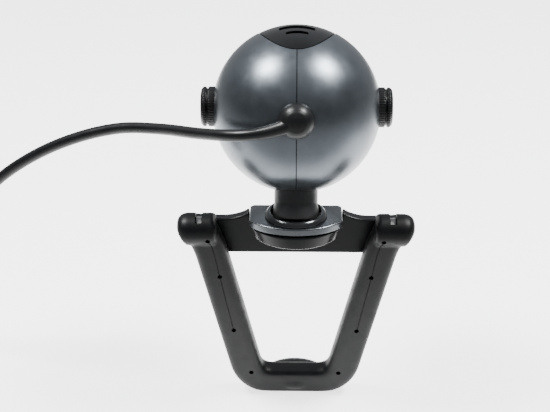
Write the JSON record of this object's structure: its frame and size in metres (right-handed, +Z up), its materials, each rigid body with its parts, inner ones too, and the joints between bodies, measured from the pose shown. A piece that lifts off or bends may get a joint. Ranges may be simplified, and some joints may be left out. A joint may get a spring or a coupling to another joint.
{
  "type": "webcam on clip stand",
  "caption": "Ball-headed USB webcam on a neck that swivels and tilts over a clip bar with a folding wire-cored loop, side focus knobs and a coiled lead.",
  "frame": {"origin": "middle of the standing object's footprint, on the surface that the loop's foot stands on, the lead left out", "axes": "+Z up, +Y the way the lens looks, X along the clip bar"},
  "size_m": [0.2402, 0.0682, 0.139],
  "materials": {
    "shell_paint": "metallic gunmetal paint on moulded plastic, satin",
    "plate_paint": "darker metallic paint with bright edges",
    "gloss_black": "polished black",
    "collar_black": "dark satin, turned",
    "neck_grey": "dark grey, moulded",
    "knob_black": "black, ribbed rims",
    "inner_black": "black, matt",
    "lens_glass": "coated glass",
    "steel": "plated",
    "acetal": "natural, slippery",
    "board_green": "printed circuit board",
    "sensor_dark": "image sensor under its cover",
    "light_lens": "tinted light guide",
    "loop_rubber": "soft black over-moulding",
    "lead_pvc": "black lead jacket",
    "tie_black": "woven hook tie"
  },
  "bodies": {
    "stand": {"top_plate": "plate_paint", "pod": "gloss_black", "plate_screw_left": "steel", "plate_screw_right": "steel", "cross_bar": "gloss_black", "hinge_tab_left": "steel", "hinge_tab_right": "steel", "hinge_pin_left": "steel", "hinge_pin_right": "steel"},
    "swivel": {"collar": "collar_black", "friction_liner": "acetal", "swivel_screw": "steel", "lead_coil": "lead_pvc", "lead_tie": "tie_black", "lead_tail": "lead_pvc", "plug_body": "lead_pvc", "plug_shell": "steel", "plug_tongue": "acetal"},
    "head": {"head_shell_left": "shell_paint", "head_shell_right": "shell_paint", "crown_band": "gloss_black", "front_fascia": "gloss_black", "lens_tube": "inner_black", "lens_bezel": "plate_paint", "sensor_board": "board_green", "image_sensor": "sensor_dark", "main_board": "board_green", "board_connector": "acetal", "microphone": "steel", "status_light": "light_lens", "cable_boss": "gloss_black", "neck": "neck_grey", "lead_tube": "lead_pvc"},
    "focus_drive": {"focus_shaft": "steel", "focus_pinion": "acetal", "focus_knob_left": "knob_black", "focus_knob_right": "knob_black"},
    "lens": {"lens_carriage": "inner_black", "lens_rear_element": "lens_glass", "lens_front_element": "lens_glass", "lens_retaining_ring": "gloss_black"},
    "loop": {"loop_sleeve": "loop_rubber", "wire_core": "steel"}
  },
  "joints": [
    {"name": "head_pan", "type": "hinge", "parent": "stand", "child": "swivel", "pos_m": [0, -0.01434, 0.0779], "axis": [0, 0, 1], "range_deg": [-45, 45]},
    {"name": "head_tilt", "type": "hinge", "parent": "swivel", "child": "head", "pos_m": [0, -0.01434, 0.0779], "axis": [1, 0, 0], "range_deg": [-4, 52], "deforming": ["lead_tube"]},
    {"name": "focus_turn", "type": "hinge", "parent": "head", "child": "focus_drive", "pos_m": [0, 0.00063, 0.11075], "axis": [1, 0, 0], "range_deg": [-22, 22]},
    {"name": "lens_slide", "type": "slide", "parent": "head", "child": "lens", "axis": [0, 0.9763, -0.2164], "range_m": [-0.00115, 0.00115]},
    {"name": "loop_fold", "type": "hinge", "parent": "stand", "child": "loop", "pos_m": [0, -0.01604, 0.0719], "axis": [1, 0, 0], "range_deg": [-95, 1.5]}
  ],
  "couplings": [
    {"joint": "focus_turn", "follows": "lens_slide", "rad_per_m": -333.33}
  ]
}
